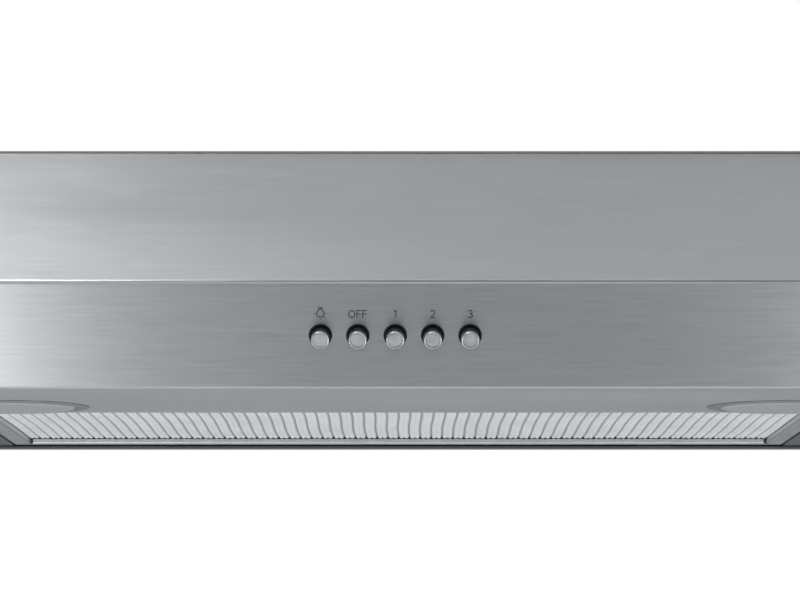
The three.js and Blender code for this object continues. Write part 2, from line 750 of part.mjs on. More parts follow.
function switchBody() {
  const { front, back, half, tall, bore } = SWITCH;
  const body = block([-half, half], [-tall, tall], [front, back]);
  const bores = BUTTON_NAMES.map((_, k) => bar("z", bore, [buttonX(k), 0], [front - 1, back - 5], 14));
  const terminals = Array.from({ length: 6 }, (_, k) => {
    const x = -40 + 16 * k;
    return block([x - 2, x + 2], [-0.4, 0.4], [back - 1, back + 6]);
  });
  return cut(join(body, ...terminals), ...bores);
}

// A channel that holds the switch bank off the back of the button face.
function switchBracket() {
  const { back, half, tall } = SWITCH;
  const leg = half + GAP;
  const foot = GUIDE.front;
  const legs = [-1, 1].map((sign) =>
    block(span(sign, leg, leg + 1.2), [-tall, tall], [foot, back]),
  );
  const feet = [-1, 1].map((sign) =>
    block(span(sign, leg, leg + 11), [-tall, tall], [foot, foot + 1.2]),
  );
  const strap = block([-leg - 1.2, leg + 1.2], [tall - 3.5, tall], [back + GAP, back + GAP + 1.2]);
  const ends = [-1, 1].map((sign) =>
    block(span(sign, leg, leg + 1.2), [tall - 3.5, tall], [back - 1, back + GAP + 1.2]),
  );
  return join(strap, ...legs, ...feet, ...ends);
}

// ---------------------------------------------------------------- wiring

const BOX = { x: [-335, -245], y: [86, 148], low: -46 };

function wiringBox() {
  const { x, y, low } = BOX;
  const top = UNDER_TOP;
  const outside = block(x, y, [low, top]);
  const room = block([x[0] + SHEET, x[1] - SHEET], [y[0] + SHEET, y[1] - SHEET], [low - 1, top - SHEET]);
  const entry = bar("z", WIRE_HOLE.radius, [WIRE_HOLE.x, WIRE_HOLE.y], [top - 5, top + 2], 24);
  return cut(outside, room, entry);
}

function wiringBoxCover() {
  const { x, y, low } = BOX;
  const plate = block(x, y, [low - GAP - SHEET, low - GAP]);
  const lip = block([x[0] + 2, x[1] - 2], [y[0] + 2, y[0] + 3], [low - GAP - 0.5, low + 6]);
  return join(plate, lip);
}

function terminalBlock() {
  const z = UNDER_TOP - SHEET - GAP;
  const [x, y] = [-272, 104];
  const base = block([x - 18, x + 18], [y - 9, y + 9], [z - 14, z]);
  const wells = [-12, 0, 12].map((dx) => bar("z", 3, [x + dx, y], [z - 20, z - 6], 12));
  return cut(base, ...wells);
}

// A plastic bushing in the top panel's wire hole, open for the supply cable.
function cableBushing() {
  const { radius, x, y } = WIRE_HOLE;
  const body = bar("z", radius - GAP, [x, y], [-8, -0.2], 24);
  const head = bar("z", radius + 2.5, [x, y], [-8, UNDER_TOP - SHEET - GAP], 24);
  const bore = bar("z", radius - 3.4, [x, y], [-12, 2], 24);
  return cut(join(body, head), bore);
}

function ledDriver() {
  const z = UNDER_TOP - GAP;
  const box = block([205, 285], [84, 116], [z - 24, z]);
  const ears = block([195, 295], [94, 106], [z - 1.6, z]);
  return join(box, ears);
}

const LEADS = {
  lead_switch: [
    [-40, -292.0, -109.7],
    [-43, -280, -104],
    [-90, -250, -76],
    [-165, -140, -30],
    [-240, -20, -20],
    [-298, 60, -28],
    [-300, 85.2, -28],
  ],
  lead_lamp_left: [
    [-LAMP.x, LAMP_Y, FLOOR + 21.7],
    [-LAMP.x, LAMP_Y + 2, FLOOR + 40],
    [-232, -120, -56],
    [-258, 0, -36],
    [-270, 60, -34],
    [-270, 85.2, -34],
  ],
  lead_lamp_right: [
    [LAMP.x, LAMP_Y, FLOOR + 21.7],
    [LAMP.x, LAMP_Y + 2, FLOOR + 40],
    [228, -110, -50],
    [244, 20, -18],
    [245, 83.2, -14],
  ],
  lead_motor: [
    [-244.2, 126, -30],
    [-230, 126, -30],
    [-188, 128, -38],
    [-145, 130, -42],
    [-129, 130, -42],
  ],
};

// ---------------------------------------------------------------- assembly

add("top_panel", topPanel(), galvanised);
add("rear_panel", rearPanel(), painted);
add("rear_duct_cover", rearDuctCover(), galvanised);
add("front_visor", frontVisor(), stainless);
add("duct_collar", ductCollar(), galvanised);
add("damper_flap", damperFlap(), galvanised);
add("damper_rod", damperRod(), steel);
add("blower_scroll", blowerScroll(), galvanised);
add("motor_body", motorBody(), steel);
add("motor_bracket", motorBracket(), galvanised);
add("rotor_shaft", rotorShaft(), steel);
add("run_capacitor", runCapacitor(), white);
add("capacitor_clip", capacitorClip(), galvanised);
add("filter_frame", filterFrame(), aluminium);
add("filter_mesh", filterMesh(), aluminium);
add("filter_back_mesh", filterBackMesh(), aluminium);
add("filter_latch", filterLatch(), black);
add("wiring_box", wiringBox(), galvanised);
add("wiring_box_cover", wiringBoxCover(), galvanised);
add("terminal_block", terminalBlock(), white);
add("cable_bushing", cableBushing(), black);
add("led_driver", ledDriver(), white);

for (const { name, sign } of SIDES) {
  add(`${name}_side_panel`, sidePanel(sign), stainless);
  add(`bottom_pan_${name}`, bottomPan(sign), painted);
  add(`scroll_cheek_${name}`, scrollCheek(sign), galvanised);
  add(`inlet_ring_${name}`, inletRing(sign), galvanised);
  add(`impeller_${name}`, impeller(sign), grey);
  add(`latch_spring_${name}`, latchSpring(sign), steel);
  add(`lamp_bezel_${name}`, lampBezel(sign * LAMP.x), satin);
  add(`lamp_lens_${name}`, lampLens(sign * LAMP.x), frosted);
  add(`lamp_housing_${name}`, lampHousing(sign * LAMP.x), galvanised);
  add(`lamp_board_${name}`, lampBoard(sign * LAMP.x), circuit);
}

add("button_guide", buttonGuide(), black, controls);
add("switch_body", switchBody(), black, controls);
add("switch_bracket", switchBracket(), galvanised, controls);
BUTTON_NAMES.forEach((name, k) => {
  add(`button_${name}`, buttonSolid(buttonX(k)), satin, controls);
  add(`button_spring_${name}`, buttonSpring(buttonX(k)), steel, controls);
});

for (const [name, points] of Object.entries(LEADS)) {
  add(name, lead(2.6, points), black);
}

export default hood;
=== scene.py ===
import json
import math

import bmesh
import bpy
from mathutils import Matrix, Vector


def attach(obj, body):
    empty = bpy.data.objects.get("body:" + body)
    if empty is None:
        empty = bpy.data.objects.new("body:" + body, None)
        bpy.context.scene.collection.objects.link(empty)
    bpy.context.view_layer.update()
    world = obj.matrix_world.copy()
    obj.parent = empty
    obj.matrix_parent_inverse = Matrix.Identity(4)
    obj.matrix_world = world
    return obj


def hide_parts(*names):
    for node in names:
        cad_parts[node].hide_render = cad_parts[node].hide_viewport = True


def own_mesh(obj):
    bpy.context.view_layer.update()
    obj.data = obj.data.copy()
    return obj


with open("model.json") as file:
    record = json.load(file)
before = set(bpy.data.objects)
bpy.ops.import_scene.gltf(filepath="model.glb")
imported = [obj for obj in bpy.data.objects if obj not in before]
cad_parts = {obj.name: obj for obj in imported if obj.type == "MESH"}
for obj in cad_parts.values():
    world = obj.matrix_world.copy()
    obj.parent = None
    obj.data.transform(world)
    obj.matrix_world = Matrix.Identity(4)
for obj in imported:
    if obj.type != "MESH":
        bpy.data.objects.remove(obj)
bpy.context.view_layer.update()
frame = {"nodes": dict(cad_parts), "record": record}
MM = 0.001

# ---------------------------------------------------------------- driving dimensions, as in the CAD

WIDTH = 759
HEIGHT = 150
BACK = 162.5
SHEET = 1
GAP = 0.3
HALF = WIDTH / 2
INSIDE = HALF - SHEET - GAP
UNDER_TOP = -SHEET - GAP
FLOOR = -HEIGHT
NOSE = Vector((-337.5, -95))
STRIP_FRONT = Vector((-317, FLOOR))
STRIP_BACK = -149
STRIP_HEM = 12
FLANGE = 12
FOLD = 2.3
FOLD_STEPS = 14

FILTER_HALF = Vector((250, 145.5))
FILTER_BOTTOM = -148
FILTER_TOP = -139
MEMBER = 11
RIB_PITCH = 7.05
MESH_BOTTOM = -144.7

LAMP_X = 219
LAMP_RADIUS = 45.4
LAMP_LENS = 37.6
LAMP_DROP = 1
LAMP_Y = STRIP_BACK - LAMP_RADIUS - 0.5
LAMP_SPIGOT = LAMP_RADIUS - 4.2

BUTTON_PITCH = 19.75
BUTTON_MIDDLE = -1.4
BUTTON_CAP = 4.8
BUTTON_HOLE = 6.15
BUTTON_PROUD = 10.4
BUTTON_UP = 29
BUTTONS = ["light", "off", "speed_1", "speed_2", "speed_3"]
SIDES = {"left": -1, "right": 1}

LATCH_SPRING_X = 20.3
LATCH_SPRING_Z = -146.6
TONGUE_SLOT = (-147.2, -144.6)
PAN_BOTTOM = -148.2

# ---------------------------------------------------------------- camera

# The camera's place is in metres, and its tip in degrees from straight down.
CAMERA_LENS = 168.8
CAMERA_PLACE = (0.0011, -2.2983, -0.3171)
CAMERA_TIP = 96.17


def add_camera():
    """A long lens in front of the hood and a little under it, tipped up by about 6 degrees."""
    data = bpy.data.cameras.new("camera")
    data.lens = CAMERA_LENS
    data.sensor_width = 36
    camera = bpy.data.objects.new("camera", data)
    camera.location = CAMERA_PLACE
    camera.rotation_euler = (math.radians(CAMERA_TIP), 0, 0)
    bpy.context.collection.objects.link(camera)
    bpy.context.scene.camera = camera


# ---------------------------------------------------------------- material nodes


class Surface:
    """A material, with short calls for the nodes that vary its colour, roughness and bump."""

    def __init__(self, name, colour, metallic=0.0, roughness=0.5):
        self.material = bpy.data.materials.new(name)
        self.material.use_nodes = True
        self.tree = self.material.node_tree
        self.shader = self.tree.nodes["Principled BSDF"]
        self.set("Base Color", (*colour, 1))
        self.set("Metallic", metallic)
        self.set("Roughness", roughness)
        self.place = self.tree.nodes.new("ShaderNodeTexCoord").outputs["Object"]

    def set(self, name, value):
        self.shader.inputs[name].default_value = value

    def scaled(self, scale, turn=(0, 0, 0)):
        """Object coordinates in metres, multiplied by a scale along each axis."""
        mapping = self.tree.nodes.new("ShaderNodeMapping")
        mapping.inputs["Scale"].default_value = scale
        mapping.inputs["Rotation"].default_value = turn
        self.tree.links.new(self.place, mapping.inputs["Vector"])
        return mapping.outputs["Vector"]

    def noise(self, scale, detail=4, roughness=0.6, turn=(0, 0, 0)):
        texture = self.tree.nodes.new("ShaderNodeTexNoise")
        texture.inputs["Scale"].default_value = 1
        texture.inputs["Detail"].default_value = detail
        texture.inputs["Roughness"].default_value = roughness
        self.tree.links.new(self.scaled(scale, turn), texture.inputs["Vector"])
        return texture.outputs["Fac"]

    def cells(self, scale, feature="F1", output="Color"):
        texture = self.tree.nodes.new("ShaderNodeTexVoronoi")
        texture.feature = feature
        texture.inputs["Scale"].default_value = 1
        self.tree.links.new(self.scaled(scale), texture.inputs["Vector"])
        return texture.outputs[output]

    def height(self, low, high):
        """One at or under the low height in millimetres, falling to zero at the high one."""
        parts = self.tree.nodes.new("ShaderNodeSeparateXYZ")
        self.tree.links.new(self.place, parts.inputs["Vector"])
        span = self.tree.nodes.new("ShaderNodeMapRange")
        span.inputs["From Min"].default_value = low * MM
        span.inputs["From Max"].default_value = high * MM
        span.inputs["To Min"].default_value = 1
        span.inputs["To Max"].default_value = 0
        self.tree.links.new(parts.outputs["Z"], span.inputs["Value"])
        return span.outputs["Result"]

    def mix(self, first, second, share=0.5):
        """A weighted sum of two patterns."""
        blend = self.tree.nodes.new("ShaderNodeMix")
        blend.inputs["Factor"].default_value = share
        self.tree.links.new(first, blend.inputs["A"])
        self.tree.links.new(second, blend.inputs["B"])
        return blend.outputs["Result"]

    def colour(self, pattern, dark, light, low=0.35, high=0.65):
        """Colours the surface between two tones where the pattern goes from low to high."""
        ramp = self.tree.nodes.new("ShaderNodeValToRGB")
        ramp.color_ramp.elements[0].position = low
        ramp.color_ramp.elements[1].position = high
        ramp.color_ramp.elements[0].color = (*dark, 1)
        ramp.color_ramp.elements[1].color = (*light, 1)
        self.tree.links.new(pattern, ramp.inputs["Fac"])
        self.tree.links.new(ramp.outputs["Color"], self.shader.inputs["Base Color"])

    def rough(self, pattern, low, high):
        span = self.tree.nodes.new("ShaderNodeMapRange")
        span.inputs["From Min"].default_value = 0.3
        span.inputs["From Max"].default_value = 0.7
        span.inputs["To Min"].default_value = low
        span.inputs["To Max"].default_value = high
        self.tree.links.new(pattern, span.inputs["Value"])
        self.tree.links.new(span.outputs["Result"], self.shader.inputs["Roughness"])

    def bump(self, pattern, height, strength):
        """Raises the surface by the pattern times a height in millimetres."""
        relief = self.tree.nodes.new("ShaderNodeBump")
        relief.inputs["Strength"].default_value = strength
        relief.inputs["Distance"].default_value = height * MM
        self.tree.links.new(pattern, relief.inputs["Height"])
        self.tree.links.new(relief.outputs["Normal"], self.shader.inputs["Normal"])

    def brushed(self, amount):
        """Stretches reflections across a grain that runs along X."""
        tangent = self.tree.nodes.new("ShaderNodeTangent")
        tangent.direction_type = "RADIAL"
        tangent.axis = "X"
        self.set("Anisotropic", amount)
        self.tree.links.new(tangent.outputs["Tangent"], self.shader.inputs["Tangent"])


def grey(level, warmth=0.0):
    """A near neutral tone: a little blue at zero warmth."""
    return (level * (0.985 + warmth), level * (0.995 + warmth / 2), level * (1.0 - warmth))


# ---------------------------------------------------------------- finishes


def stainless(name, hair_scale, band_scale):
    """Brushed sheet, with its grain along the axis that has the small scale."""
    surface = Surface(name, grey(0.5), 1.0, 0.3)
    hairs = surface.noise(hair_scale, 3, 0.65)
    bands = surface.noise(band_scale, 3, 0.6)
    grain = surface.mix(hairs, bands, 0.3)
    surface.colour(grain, grey(0.45), grey(0.56), 0.3, 0.7)
    surface.rough(surface.mix(hairs, surface.noise((3, 9, 9), 2), 0.4), 0.28, 0.4)
    surface.bump(grain, 0.006, 0.5)
    return surface


def front_steel():
    """The front's grain runs along the hood's width, and smears reflections up and down."""
    surface = stainless("stainless", (34, 1900, 1900), (14, 420, 420))
    surface.brushed(0.7)
    return surface.material


def end_steel():
    """The end panels' grain runs from front to back."""
    return stainless("stainless_ends", (1900, 34, 1900), (420, 14, 420)).material


def satin_metal(name, level):
    """Bead blasted bright metal."""
    surface = Surface(name, grey(level), 1.0, 0.3)
    speck = surface.noise((2600, 2600, 2600), 2, 0.7)
    cloud = surface.noise((240, 240, 240), 3)
    surface.colour(surface.mix(speck, cloud, 0.5), grey(level * 0.92), grey(level * 1.04))
    surface.rough(cloud, 0.28, 0.4)
    surface.bump(speck, 0.006, 0.5)
    return surface.material


def rolled_aluminium():
    """Roll formed aluminium of the filter's frame, with faint draw lines."""
    surface = Surface("rolled_aluminium", grey(0.62), 1.0, 0.36)
    lines = surface.noise((160, 160, 2400), 2)
    cloud = surface.noise((90, 90, 90), 4)
    surface.colour(surface.mix(lines, cloud, 0.3), grey(0.56), grey(0.66))
    surface.rough(lines, 0.32, 0.44)
    surface.bump(lines, 0.008, 0.5)
    return surface.material


def filter_weave(name, level, pleat_shade_band=None):
    """Layered expanded aluminium: pale, with fine slanting strands; given a pleat band, it has painted
    shade deep in its pleats.
    """
    surface = Surface(name, grey(level), 0.35, 0.5)
    strands = surface.noise((1500, 260, 500), 2, 0.6, (0, 0, math.radians(32)))
    across = surface.noise((1500, 260, 500), 2, 0.6, (0, 0, math.radians(-32)))
    weave = surface.mix(strands, across, 0.5)
    cloud = surface.noise((30, 30, 30), 3)
    tone = surface.mix(weave, cloud, 0.15)
    if pleat_shade_band:
        # Painted shade: the colour darkens where the ribbed layer lies deep in its pleats, between the
        # band's two heights.
        tone = surface.mix(tone, surface.height(*pleat_shade_band), 0.6)
        surface.colour(tone, grey(level * 0.5), grey(level * 1.08), 0.2, 0.76)
    else:
        surface.colour(tone, grey(level * 0.82), grey(level * 1.08))
    surface.rough(cloud, 0.42, 0.6)
    surface.bump(weave, 0.12, 0.6)
    return surface.material


def galvanised():
    """Zinc coated sheet with a soft spangle."""
    surface = Surface("galvanised", grey(0.45), 0.9, 0.45)
    spangle = surface.cells((110, 110, 110))
    cloud = surface.noise((130, 130, 130), 4)
    surface.colour(surface.mix(spangle, cloud, 0.35), grey(0.42), grey(0.48))
    surface.rough(surface.mix(spangle, cloud, 0.35), 0.42, 0.5)
    surface.bump(surface.noise((900, 900, 900), 3), 0.02, 0.4)
    return surface.material


def painted():
    """Dark grey enamel with a light orange peel."""
    surface = Surface("painted", grey(0.1), 0.0, 0.42)
    peel = surface.noise((620, 620, 620), 2)
    cloud = surface.noise((24, 24, 24), 3)
    surface.colour(surface.mix(cloud, peel, 0.6), grey(0.094), grey(0.106))
    surface.rough(peel, 0.36, 0.5)
    surface.bump(peel, 0.03, 0.5)
    surface.set("Coat Weight", 0.15)
    surface.set("Coat Roughness", 0.3)
    return surface.material


def moulded(name, level, roughness=0.5, warmth=0.0):
    """Injection moulded plastic with a fine spark texture."""
    surface = Surface(name, grey(level, warmth), 0.0, roughness)
    spark = surface.noise((1700, 1700, 1700), 2, 0.7)
    cloud = surface.noise((60, 60, 60), 3)
    surface.colour(cloud, grey(level * 0.85, warmth), grey(level * 1.12, warmth))
    surface.rough(spark, roughness - 0.07, roughness + 0.08)
    surface.bump(spark, 0.03, 0.45)
    return surface.material


def frosted_lens():
    """Frosted lamp lens, unlit, with a fine speckle."""
    surface = Surface("frosted_lens", grey(0.5), 0.0, 0.3)
    cloud = surface.noise((70, 70, 70), 3)
    speck = surface.noise((2200, 2200, 2200), 2)
    surface.colour(cloud, grey(0.47), grey(0.51))
    surface.rough(speck, 0.26, 0.36)
    surface.bump(speck, 0.012, 0.5)
    surface.set("Coat Weight", 0.5)
    surface.set("Coat Roughness", 0.22)
    return surface.material


def machined_steel():
    surface = Surface("machined_steel", grey(0.42), 1.0, 0.32)
    lines = surface.noise((2200, 300, 300), 2)
    cloud = surface.noise((120, 120, 120), 3)
    surface.colour(surface.mix(lines, cloud, 0.5), grey(0.32), grey(0.5))
    surface.rough(lines, 0.26, 0.42)
    surface.bump(lines, 0.01, 0.4)
    return surface.material


def circuit_board():
    """White solder mask over faint yellowish traces."""
    surface = Surface("circuit_board", grey(0.7), 0.0, 0.4)
    traces = surface.cells((240, 240, 240), "DISTANCE_TO_EDGE", "Distance")
    surface.colour(traces, grey(0.55, 0.06), grey(0.78), 0.02, 0.06)
    surface.rough(surface.noise((900, 900, 900), 2), 0.34, 0.48)
    surface.bump(traces, 0.02, 0.3)
    return surface.material


def lead_jacket():
    surface = Surface("lead_jacket", grey(0.03), 0.0, 0.45)
    scuff = surface.noise((300, 300, 300), 4)
    surface.colour(scuff, grey(0.022), grey(0.04))
    surface.rough(scuff, 0.36, 0.55)
    surface.bump(surface.noise((1500, 1500, 1500), 2), 0.02, 0.4)
    return surface.material


def print_ink():
    """Dark grey printing on the button face."""
    surface = Surface("print_ink", grey(0.03), 0.0, 0.55)
    speck = surface.noise((3000, 3000, 3000), 2)
    surface.colour(speck, grey(0.022), grey(0.045))
    surface.rough(speck, 0.48, 0.64)
    surface.bump(speck, 0.006, 0.3)
    return surface.material


FINISH = {
    "stainless": front_steel(),
    "galvanised": galvanised(),
    "painted": painted(),
    "aluminium": rolled_aluminium(),
    "button_cap": satin_metal("button_cap", 0.62),
    "bezel": satin_metal("bezel", 0.44),
    "lens": frosted_lens(),
    "black_plastic": moulded("black_plastic", 0.016, 0.45),
    "white_plastic": moulded("white_plastic", 0.6, 0.48, 0.02),
    "impeller_plastic": moulded("impeller_plastic", 0.14, 0.55),
    "circuit": circuit_board(),
    "spring_steel": machined_steel(),
    "lead_jacket": lead_jacket(),
}
WEAVE = filter_weave("filter_weave", 0.88)
# The ribbed layer's weave, with painted shade in its pleats that deepens from the lower of these two
# heights to the upper one.
RIBBED_WEAVE = filter_weave("ribbed_weave", 0.92, (MESH_BOTTOM + 0.5, MESH_BOTTOM + 1.15))
INK = print_ink()
END_STEEL = end_steel()

# ---------------------------------------------------------------- meshes


def new_object(name, mesh, material):
    mesh.materials.clear()
    mesh.materials.append(material)
    shape = bpy.data.objects.new(name, mesh)
    bpy.context.collection.objects.link(shape)
    return shape


def object_of(name, made, material):
    """An object from a bmesh in millimetres, with its faces turned outwards."""
    bmesh.ops.remove_doubles(made, verts=made.verts, dist=1e-5)
    bmesh.ops.recalc_face_normals(made, faces=made.faces)
    bmesh.ops.scale(made, vec=(MM, MM, MM), verts=made.verts)
    mesh = bpy.data.meshes.new(name)
    made.to_mesh(mesh)
    made.free()
    return new_object(name, mesh, material)


def apply_modifiers(shape):
    graph = bpy.context.evaluated_depsgraph_get()
    shape.data = bpy.data.meshes.new_from_object(shape.evaluated_get(graph))
    shape.modifiers.clear()


def carve(shape, tools):
    """Cuts the tools out of the shape, and throws them away."""
    for tool in tools:
        modifier = shape.modifiers.new("cut", "BOOLEAN")
        modifier.operation = "DIFFERENCE"
        modifier.solver = "EXACT"
        modifier.object = tool
    apply_modifiers(shape)
    for tool in tools:
        bpy.data.objects.remove(tool)


def smooth(shape, angle=35):
    for face in shape.data.polygons:
        face.use_smooth = True
    shape.data.set_sharp_from_angle(angle=math.radians(angle))


def soften(shape, width, angle=40):
    """Rounds the sharp edges, and keeps the flat faces looking flat."""
    bevel = shape.modifiers.new("bevel", "BEVEL")
    bevel.width = width * MM
    bevel.segments = 2
    bevel.limit_method = "ANGLE"
    bevel.angle_limit = math.radians(angle)
    bevel.use_clamp_overlap = True
    apply_modifiers(shape)
    smooth(shape, 60)
    weighted = shape.modifiers.new("weighted", "WEIGHTED_NORMAL")
    weighted.keep_sharp = True
    apply_modifiers(shape)


def dress(shape, body, slot, *nodes):
    """Attaches a piece to the body that carries it, and hides the CAD nodes it stands for; the material
    slot argument is not used.
    """
    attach(shape, body)
    if nodes:
        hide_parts(*nodes)


def left_of(direction):
    return Vector((-direction.y, direction.x))


def bent_line(corners, radius, steps):
    """Points along a line that is rounded at its corners, each with the normal on its left."""
    samples = []
    for i, corner in enumerate(corners):
        before = (corner - corners[i - 1]).normalized() if i > 0 else None
        after = (corners[i + 1] - corner).normalized() if i < len(corners) - 1 else None
        if before is None or after is None:
            samples.append((corner, left_of(before or after)))
            continue
        turn = math.atan2(before.x * after.y - before.y * after.x, before.dot(after))
        side = math.copysign(1, turn)
        start = corner - before * radius * math.tan(abs(turn) / 2)
        centre = start + left_of(before) * side * radius
        for k in range(steps + 1):
            normal = left_of(before)
            normal.rotate(Matrix.Rotation(turn * k / steps, 2))
            samples.append((centre - normal * side * radius, normal))
    return samples


def sheet_section(samples, thickness):
    outer = [at for at, _ in samples]
    inner = [at + normal * thickness for at, normal in samples]
    return outer + inner[::-1]


def skin_over(made, rings):
    """Faces from each ring of vertices to the next, and one over each end."""
    for near, far in zip(rings, rings[1:]):
        for k in range(len(near)):
            after = (k + 1) % len(near)
            made.faces.new((near[k], near[after], far[after], far[k]))
    made.faces.new(rings[0][::-1])
    made.faces.new(rings[-1])


def extrude_x(outline, x0, x1):
    """A bmesh of an outline in the Y Z plane, extruded along X."""
    made = bmesh.new()
    skin_over(made, [[made.verts.new((x, y, z)) for y, z in outline] for x in (x0, x1)])
    return made


def block(low, high):
    made = bmesh.new()
    bmesh.ops.create_cube(made, size=1)
    size = Vector(high) - Vector(low)
    middle = (Vector(high) + Vector(low)) / 2
    bmesh.ops.scale(made, vec=size, verts=made.verts)
    bmesh.ops.translate(made, vec=middle, verts=made.verts)
    return made


def lathe(profile, sides, matrix=Matrix()):
    """A bmesh of a closed profile of (radius, height) points turned about the local Z axis."""
    made = bmesh.new()
    rings = []
    for radius, height in profile:
        if radius == 0:
            rings.append([made.verts.new((0, 0, height))] * sides)
            continue
        angles = [2 * math.pi * k / sides for k in range(sides)]
        points = [(radius * math.cos(angle), radius * math.sin(angle), height) for angle in angles]
        rings.append([made.verts.new(point) for point in points])
    for low, high in zip(rings, rings[1:] + rings[:1]):
        for k in range(sides):
            after = (k + 1) % sides
            corners = list(dict.fromkeys((low[k], low[after], high[after], high[k])))
            if len(corners) > 2:
                made.faces.new(corners)
    bmesh.ops.transform(made, matrix=matrix, verts=made.verts)
    return made


def joined(*parts):
    """One bmesh from several."""
    whole = bmesh.new()
    for part in parts:
        mesh = bpy.data.meshes.new("part")
        part.to_mesh(mesh)
        part.free()
        whole.from_mesh(mesh)
        bpy.data.meshes.remove(mesh)
    return whole


def tool_of(made):
    return object_of("tool", made, FINISH["galvanised"])


# ---------------------------------------------------------------- button face

FACE_LEAN = math.atan2(STRIP_FRONT.x - NOSE.x, NOSE.y - STRIP_FRONT.y)
BUTTON_LINE = STRIP_FRONT + (NOSE - STRIP_FRONT).normalized() * BUTTON_UP


def face_matrix(x=0.0):
    """Local X is the hood's, local Y runs down the button face and local Z points into the hood."""
    lean = Matrix.Rotation(FACE_LEAN - math.pi / 2, 4, "X")
    return Matrix.Translation((BUTTON_MIDDLE + x, BUTTON_LINE.x, BUTTON_LINE.y)) @ lean


def button_x(k):
    return (k - (len(BUTTONS) - 1) / 2) * BUTTON_PITCH


def rod(radius, low, high, sides=64, matrix=Matrix()):
    return lathe([(0, low), (radius, low), (radius, high), (0, high)], sides, matrix)


# ---------------------------------------------------------------- shell

TOP_FLANGE_FRONT = -140
TOP_FLANGE_BACK = 147
REAR_FLANGE_LOW = -147
LOW_FLANGE_BACK = 148.2


def tongue_slot(half, front, back):
    """The room for the latch's tongue, as a cutting block."""
    low, high = TONGUE_SLOT
    return block((-half, front, low), (half, back, high))


def visor():
    """The folded front: sloped hood face, button face and lamp strip."""
    corners = [
        Vector((-BACK + FLANGE + 5, UNDER_TOP)),
        Vector((-BACK, UNDER_TOP)),
        NOSE,
        STRIP_FRONT,
        Vector((STRIP_BACK, FLOOR)),
        Vector((STRIP_BACK, FLOOR + STRIP_HEM)),
    ]
    section = sheet_section(bent_line(corners, FOLD, FOLD_STEPS), SHEET)
    shape = object_of("visor_sheet", extrude_x(section, -INSIDE, INSIDE), FINISH["stainless"])
    tools = [tool_of(rod(BUTTON_HOLE, -3, 4, 64, face_matrix(button_x(k)))) for k in range(len(BUTTONS))]
    for sign in SIDES.values():
        place = Matrix.Translation((sign * LAMP_X, LAMP_Y, 0))
        tools.append(tool_of(rod(LAMP_SPIGOT + 0.4, FLOOR - 2, FLOOR + 3, 96, place)))
    tools.append(tool_of(tongue_slot(15, STRIP_BACK - 3, STRIP_BACK + 2)))
    carve(shape, tools)
    soften(shape, 0.12, 50)
    dress(shape, "hood", "stainless", "front_visor")


def side_skin(side, sign):
    """An end panel with rounded corners in its outline, and its joining flanges."""
    profile = [
        Vector((-BACK, UNDER_TOP)),
        NOSE,
        STRIP_FRONT,
        Vector((BACK, FLOOR)),
        Vector((BACK, UNDER_TOP)),
    ]
    outline = [at for at, _ in bent_line(profile, FOLD, FOLD_STEPS)]
    skin = extrude_x(outline, sign * (HALF - SHEET), sign * HALF)
    near, far = sign * (HALF - FLANGE), sign * (HALF - SHEET / 2)
    low, high = min(near, far), max(near, far)
    rear = BACK - SHEET - GAP
    flanges = [
        block((low, TOP_FLANGE_FRONT, UNDER_TOP - SHEET), (high, TOP_FLANGE_BACK, UNDER_TOP)),
        block((low, rear - SHEET, REAR_FLANGE_LOW), (high, rear, UNDER_TOP - SHEET - GAP)),
        block((low, STRIP_BACK + 0.5, FLOOR), (high, LOW_FLANGE_BACK, FLOOR + SHEET)),
    ]
    shape = object_of(f"side_skin_{side}", joined(skin, *flanges), END_STEEL)
    soften(shape, 0.2, 50)
    dress(shape, "hood", "stainless", f"{side}_side_panel")


# ---------------------------------------------------------------- filter

MEMBER_SHEET = 0.6
MEMBER_FOLD = 1.1
MITRE_GAP = 0.18
LIP_NOTCH = 1.6
LIP_TOP = -144
POCKET_HALF = 26
STOP_X, STOP_HALF = 22.5, 4.5
TAB_X, TAB_HALF, TAB_LOW = 171, 11, -147.4


def frame_section():
    """The rolled channel: (distance in from the outer edge, height) round its section."""
    line = [
        Vector((MEMBER, FILTER_TOP)),
        Vector((0, FILTER_TOP)),
        Vector((0, FILTER_BOTTOM)),
        Vector((MEMBER, FILTER_BOTTOM)),
        Vector((MEMBER, MESH_BOTTOM - GAP)),
    ]
    return sheet_section(bent_line(line, MEMBER_FOLD, 6), MEMBER_SHEET)


def filter_member(along, across, turn):
    """One side of the frame, cut at 45 degrees, with a relief notch in its inner lip."""
    made = bmesh.new()
    section = frame_section()
    rings = []
    for sign in (-1, 1):
        ring = []
        for inset, height in section:
            in_lip = inset > MEMBER - 0.7 and height < LIP_TOP
            reach = along - inset - MITRE_GAP - (LIP_NOTCH if in_lip else 0)
            ring.append(made.verts.new((sign * reach, -(across - inset), height)))
        rings.append(ring)
    skin_over(made, rings)
    bmesh.ops.rotate(made, matrix=Matrix.Rotation(turn, 3, "Z"), verts=made.verts)
    return made


